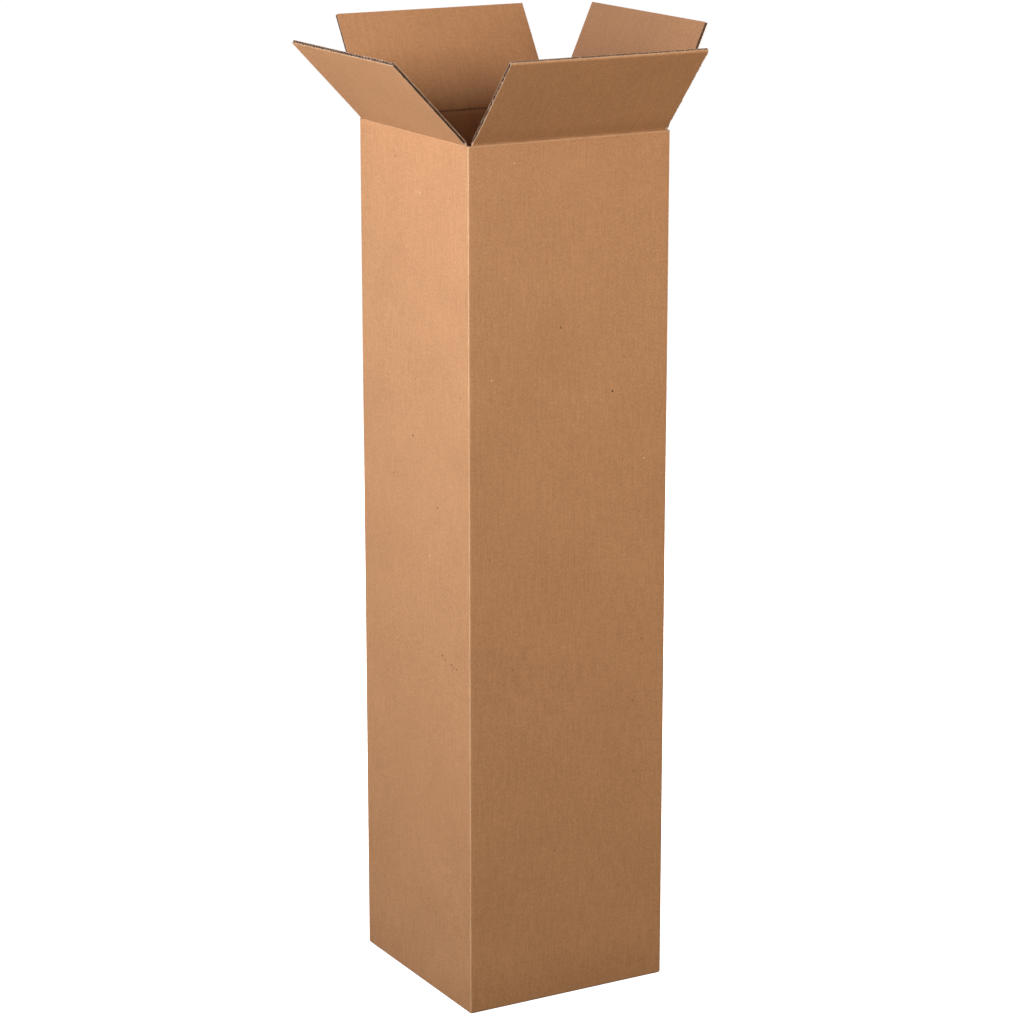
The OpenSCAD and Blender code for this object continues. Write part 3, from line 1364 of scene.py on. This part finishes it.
@dataclass
class Sleeve(BoardPart):
    """The four walls as one folded strip, from the back panel's cut edge to the glue lap's fold."""

    fold_steps: int = 6
    rounded_rows: int = 5
    wall_rows: int = 20
    slot_rows: int = 4
    slot_mouth: float = 2.4 * MM
    lap_play: float = 0.05 * MM

    def __post_init__(self) -> None:
        """Lists the stations along the strip."""
        stations: list[Station] = []
        for side in Side:
            stations += self._panel(side)
            stations += self._lap_fold() if side is Side.RIGHT else self._fold(side)
        self.outer = np.array([station.outer for station in stations])
        self.inner = np.array([station.inner for station in stations])
        self.u = np.array([station.u for station in stations])
        self.tall = np.array([station.tall for station in stations])

    def _station(self, side: Side, outer: Span, inner: Span, u: float, tall: bool = True) -> Station:
        """Places one station.

        Args:
            side: The side whose own axes it is given in.
            outer: Its outer point, to the right of the side's middle and out from the middle of the box.
            inner: Its inner point.
            u: Its place along the side's panel, from the middle.
            tall: Whether the board stays tall from here to the next station, up to the score.

        Returns:
            The station in the row frame.
        """
        x, y = np.array([outer, inner]).T
        points = side.world(x, -y, np.zeros(2))[:, :2]
        return Station(points[0], points[1], self.blank.along(side, u), tall)

    def _panel(self, side: Side) -> Iterator[Station]:
        """Walks along one panel, from left to right as seen from outside.

        Args:
            side: The panel's side.

        Yields:
            The panel's stations.
        """
        half, flap = self.blank.half, self.blank.flap_w / 2
        inner = half - self.board.thick
        if side is Side.BACK:
            cut = half - self.blank.joint_gap
            for x in (-cut, -cut + self.blank.cut_depth):
                yield self._station(side, (x, half), (x, inner), x)
        for x in np.linspace(-flap, flap, 2 * self.board.flutes + 1):
            yield self._station(side, (x, half), (x, inner), x, bool(x > flap - CLOSE))

    def _fold(self, side: Side) -> Iterator[Station]:
        """Walks round the fold between a panel and the next one.

        Args:
            side: The panel's side.

        Yields:
            The fold's stations.
        """
        outer_r, inner_r = self.blank.fold_r, self.blank.inner_r
        outer = self.blank.half - outer_r
        inner = self.blank.half - self.board.thick - inner_r
        for turn in np.linspace(0, QUARTER_TURN, self.fold_steps + 1):
            c, s = math.cos(turn), math.sin(turn)
            along = outer + 2 * outer_r * turn / QUARTER_TURN
            yield self._station(side, (outer + outer_r * s, outer + outer_r * c),
                                (inner + inner_r * s, inner + inner_r * c), along)

    def _lap_fold(self) -> Iterator[Station]:
        """Walks round the fold where the right panel turns in under the back panel.

        Yields:
            The fold's stations.
        """
        half, inner, r = self.blank.half, self.blank.half - self.board.thick, self.blank.fold_r
        centre = inner - r
        for turn in np.linspace(0, QUARTER_TURN, self.fold_steps + 1):
            outer = (centre + r * math.sin(turn) - self.lap_play, half - r + r * math.cos(turn))
            under = (centre + (r - self.lap_play) * math.sin(turn), inner)
            yield self._station(Side.RIGHT, outer, under, centre + r * turn)

    def at(self, u: Array, t: Array, z: Array) -> Array:
        """Finds points of the folded board.

        Args:
            u: Place along the blank.
            t: Depth in flat board.
            z: Height.

        Returns:
            The points in the row frame.
        """
        outer = np.stack([np.interp(u, self.u, self.outer[:, k]) for k in (0, 1)], axis=-1)
        inner = np.stack([np.interp(u, self.u, self.inner[:, k]) for k in (0, 1)], axis=-1)
        r, thick = self.blank.fold_r, self.board.thick
        inset = r - np.sqrt(np.clip(r * r - (r - np.minimum(z, r)) ** 2, 0, None))
        depth = self.board.depth(t, z - self.blank.score_z) + inset * (1 - t / thick)
        plan = outer + (inner - outer) * (depth / thick)[..., None]
        return np.concatenate([plan, z[..., None]], axis=-1)

    def walls(self) -> Piece:
        """Makes the walls, cut down to the strip that each flap's liners carry on from.

        Returns:
            The finished piece, which stands for the body's CAD node.
        """
        r, top = self.blank.fold_r, self.blank.score_z
        rounded = r - r * np.cos(np.linspace(0, QUARTER_TURN, self.rounded_rows))
        low = top - self.blank.strip
        wall = np.linspace(r, low, self.wall_rows)[1:]
        z = np.concatenate([rounded, wall, top - self.board.near_score[::-1]])
        u, t, height = np.meshgrid(self.u, self.board.layers, z, indexing="ij")
        filled = BoardGrid.cells(height, False)
        filled[:, :, z[:-1] < low - CLOSE] = True
        filled[self.tall[:-1]] = True
        filled[:, BoardGrid.CORE, z[:-1] >= top - self.slot_mouth - CLOSE] = False
        filled[0, BoardGrid.CORE, len(rounded) - 1:] = False
        grid = BoardGrid(self.at(u, t, height), np.stack([u, height], axis=-1), filled, Skin.OUTER)
        piece = grid.build("carton_walls", self.palette.skins)
        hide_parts("body")
        return self.on_carton(piece)

    def slot_flutes(self, medium: FlutedMedium) -> Piece:
        """Makes the flutes that show in the bottoms of the slots between the flaps.

        Args:
            medium: The Geometry Nodes tree that corrugates a sheet.

        Returns:
            The finished piece.
        """
        blank, flap = self.blank, self.blank.flap_w / 2
        spans = [(self.u[0], self.u[0] + blank.inset - blank.joint_gap, 1)]
        spans += [(blank.along(side, flap), (side.column + 1) * blank.width - flap, 2)
                  for side in (Side.BACK, Side.LEFT, Side.FRONT)]
        spans.append((blank.along(Side.RIGHT, flap), self.u[-self.fold_steps - 1], 1))
        shell = bmesh.new()
        for start, end, flutes in spans:
            mesh = medium.sheet(end - start, self.slot_mouth, flutes, self.slot_rows, start)
            self.bend(mesh, self.at, (start + end) / 2, blank.score_z - self.slot_mouth / 2)
            shell.from_mesh(mesh)
        joined = bpy.data.meshes.new("slot_flutes")
        shell.to_mesh(joined)
        shell.free()
        return self.on_carton(finish_mesh(joined, "slot_flutes", list(mesh.materials)))


@dataclass
class GlueLap(BoardPart):
    """The lap of the right panel, glued to the inside of the back panel, with slanted ends."""

    lap_w: float = 35.0 * MM
    slant: float = math.radians(15)
    low: float = 18.0 * MM
    back_off: float = 15.65 * MM
    glue: float = 0.02 * MM
    flutes: int = 4
    liner_rows: int = 24
    flute_rows: int = 40
    short: float = 0.4 * MM
    seed: float = 9.0

    @property
    def height(self) -> float:
        """Height of the lap along its fold."""
        return self.blank.score_z - self.back_off - self.low

    def at(self, x: Array, t: Array, z: Array) -> Array:
        """Finds points of the lap.

        Args:
            x: Distance from its fold.
            t: Depth in the board.
            z: Distance up from its lower end, before the ends are slanted.

        Returns:
            The points in the row frame.
        """
        wall = self.blank.half - self.board.thick
        slope = math.tan(self.slant) * (1 - 2 * z / self.height)
        return Side.BACK.world(x - wall, t + self.glue - wall, self.low + z + x * slope)

    def liners(self) -> Piece:
        """Makes the lap's two liners.

        Returns:
            The finished piece.
        """
        x = np.linspace(0, self.lap_w, 2 * self.flutes + 1)
        z = np.linspace(0, self.height, self.liner_rows)
        grid = np.meshgrid(x, self.board.layers, z, indexing="ij")
        u = self.blank.along(Side.RIGHT, self.blank.half + grid[0])
        uv = np.stack([u, self.low + grid[2]], axis=-1)
        filled = BoardGrid.cells(grid[0])
        filled[:, BoardGrid.CORE] = False
        piece = BoardGrid(self.at(*grid), uv, filled).build("glue_lap_liners", self.palette.skins)
        return self.on_carton(piece)

    def medium(self, medium: FlutedMedium) -> Piece:
        """Makes the medium between them.

        Args:
            medium: The Geometry Nodes tree that corrugates a sheet.

        Returns:
            The finished piece.
        """
        mesh = medium.sheet(self.lap_w, self.height - self.short, self.flutes, self.flute_rows, self.seed)
        self.bend(mesh, self.at, self.lap_w / 2, self.height / 2)
        return self.on_carton(finish_mesh(mesh, "glue_lap_flutes"))


@dataclass
class BottomFlap(BoardPart):
    """One of the four bottom flaps, folded in under the box and held shut."""

    side: Side
    columns: int = 40
    rows: int = 12

    def build(self) -> Piece:
        """Makes the flap, from the seam in the middle out to its wall.

        Returns:
            The finished piece.
        """
        thick, cut = self.board.thick, self.blank.cut_depth
        floor = thick if self.side in (Side.LEFT, Side.RIGHT) else 0.0
        wall, seam, flap = self.blank.half - thick, self.blank.seam_gap / 2, self.blank.flap_w / 2
        x = np.concatenate([[-flap], np.linspace(-flap + cut, flap - cut, self.columns), [flap]])
        y = np.concatenate([[-seam, -seam - cut], np.linspace(-seam - cut, -wall, self.rows)[1:]])
        grid_x, grid_t, grid_y = np.meshgrid(x, self.board.layers, y, indexing="ij")
        uv = np.stack([self.blank.along(self.side, grid_x), -wall - grid_y], axis=-1)
        filled = BoardGrid.cells(grid_x)
        filled[[0, -1], BoardGrid.CORE] = False
        filled[:, BoardGrid.CORE, 0] = False
        grid = BoardGrid(self.side.world(grid_x, grid_y, grid_t + floor), uv, filled)
        return self.on_carton(grid.build(f"{self.side.label}_bottom_flap", self.palette.skins))


@dataclass(frozen=True)
class SoftBox:
    """A square area light that faces the upper part of the carton, with its power in watts."""

    name: str
    place: Triple
    size: float
    power: float
    tint: Triple = WHITE
    aim: Triple = (0.0, 0.0, 0.9)

    def hang(self) -> None:
        """Adds the light to the scene, out of the camera's sight."""
        data = bpy.data.lights.new(self.name, "AREA")
        data.size = self.size
        data.energy = self.power
        data.color = self.tint
        made = bpy.data.objects.new(self.name, data)
        made.visible_camera = False
        made.location = self.place
        made.rotation_euler = (Vector(self.aim) - made.location).to_track_quat("-Z", "Y").to_euler()
        bpy.context.scene.collection.objects.link(made)


COOL: Triple = (0.92, 1.06, 1.3)
FAINT: Triple = (1.0, 1.0, 1.07)

SOFT_BOXES = (
    SoftBox("left near", (-1.5, -0.3, 1.5), 0.8, 18.0, COOL),
    SoftBox("left back", (-2.0, 0.5, 1.2), 0.9, 7.0, COOL),
    SoftBox("left floor", (-3.0, -0.3, 0.3), 1.2, 5.0, FAINT),
    SoftBox("left low", (-3.0, -0.3, 0.6), 1.2, 10.0, FAINT),
    SoftBox("left", (-3.0, -0.3, 1.4), 1.2, 8.0, FAINT),
    SoftBox("left high", (-3.0, -0.3, 2.0), 1.2, 22.0, FAINT),
    SoftBox("front", (0.5, -3.0, 1.85), 0.6, 50.0),
    SoftBox("front right", (1.8, -2.6, 2.0), 1.2, 24.0),
    SoftBox("right", (3.0, 0.9, 1.4), 1.6, 92.0),
    SoftBox("back", (0.6, 3.0, 1.6), 1.6, 88.0),
)


@dataclass
class Studio:
    """Pale floor, soft lights and the camera at the photograph's viewing angle."""

    blank: Blank
    focal_px: float = 3358.0
    frame_px: float = 1024.0
    pitch: float = math.radians(14.588)
    heading: float = math.radians(29.453)
    across: float = -0.185
    drop: float = 2.059
    depth: float = 13.975
    sensor: float = 36.0
    floor_half: float = 60.0
    pale: Triple = (0.8, 0.8, 0.8)
    dullness: float = 0.9
    dim: float = 0.02
    backdrop: float = 1.0
    glow: float = 1.0

    def camera(self) -> None:
        """Places the camera from the pitch, heading and corner distances read off the photograph.

        Seen from the camera, the near top corner lies across, down by the drop and ahead by the depth, all
        three in panel widths.
        """
        data = bpy.data.cameras.new("camera")
        data.sensor_width = self.sensor
        data.lens = self.focal_px / self.frame_px * self.sensor
        made = bpy.data.objects.new("camera", data)
        bpy.context.scene.collection.objects.link(made)
        right = Vector((math.cos(self.heading), -math.sin(self.heading), 0))
        ahead = Vector((math.sin(self.heading), math.cos(self.heading), 0))
        corner = Vector((-self.blank.half, -self.blank.half, self.blank.score_z))
        width = self.blank.width
        made.location = corner - right * self.across * width - ahead * self.depth * width
        made.location.z += self.drop * width
        made.rotation_euler = (QUARTER_TURN - self.pitch, 0, -self.heading)
        bpy.context.scene.camera = made

    def floor(self) -> None:
        """Makes the pale floor, which glows white all round the carton but not under it."""
        size = self.floor_half
        mesh = bpy.data.meshes.new("floor")
        corners = [(-size, -size, 0), (size, -size, 0), (size, size, 0), (-size, size, 0)]
        mesh.from_pydata(corners, [], [(0, 1, 2, 3)])
        g = Shading("floor")
        off = [g.math("ABSOLUTE", part) for part in g.split(g.node("ShaderNodeTexCoord").outputs["Object"])]
        beside = g.math("GREATER_THAN", g.math("MAXIMUM", *off), self.blank.half - self.blank.fold_r)
        shader = g.node("ShaderNodeBsdfPrincipled", {
            "Base Color": self.pale, "Roughness": self.dullness, "Emission Color": WHITE,
            "Emission Strength": g.math("MULTIPLY", beside, self.glow),
        })
        g.node("ShaderNodeOutputMaterial", {"Surface": shader.outputs[0]})
        mesh.materials.append(g.material)
        made = bpy.data.objects.new("floor", mesh)
        made.visible_diffuse = False
        made.visible_glossy = False
        bpy.context.scene.collection.objects.link(made)
        made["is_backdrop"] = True

    def lights(self) -> None:
        """Adds the soft boxes and the room, which is dim but looks white to the camera."""
        world = bpy.data.worlds.new("room")
        bpy.context.scene.world = world
        world.use_nodes = True
        g = Graph(world.node_tree)
        seen = g.node("ShaderNodeLightPath").outputs["Is Camera Ray"]
        bright = g.node("ShaderNodeMapRange", {0: seen, 3: self.dim, 4: self.backdrop}).outputs[0]
        backdrop = world.node_tree.nodes["Background"]
        g.feed(backdrop.inputs[0], WHITE)
        g.feed(backdrop.inputs[1], bright)
        bpy.context.scene.view_settings.view_transform = "Standard"
        for box in SOFT_BOXES:
            box.hang()


def write_sizes() -> None:
    boxes = {"cad": CAD_BOX, "visual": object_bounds()}
    {name: [list(corner) for corner in box] for name, box in boxes.items()}


def main() -> None:
    """Builds the carton's pieces in order, then the studio."""
    logging.basicConfig(level=logging.INFO, format="%(message)s")
    board = Board()
    blank = Blank.from_frame()
    palette = Palette(board, blank)
    paper = (blank, board, palette)
    medium = FlutedMedium(board, palette.flute, palette.cut)
    edge = FrayedEdge(palette.cut)
    sleeve, lap = Sleeve(*paper), GlueLap(*paper)
    pieces = [sleeve.walls(), sleeve.slot_flutes(medium), lap.liners(), lap.medium(medium)]
    pieces += [BottomFlap(*paper, side).build() for side in Side]
    for side in Side:
        flap = Flap(*paper, side)
        pieces += [flap.liners(), flap.flutes(medium), flap.fray(edge)]
    for piece in pieces:
        log.info("%s: %d faces", piece.name, len(piece.data.polygons))
    studio = Studio(blank)
    studio.camera()
    studio.floor()
    studio.lights()
    write_sizes()


if __name__ == "__main__":
    main()
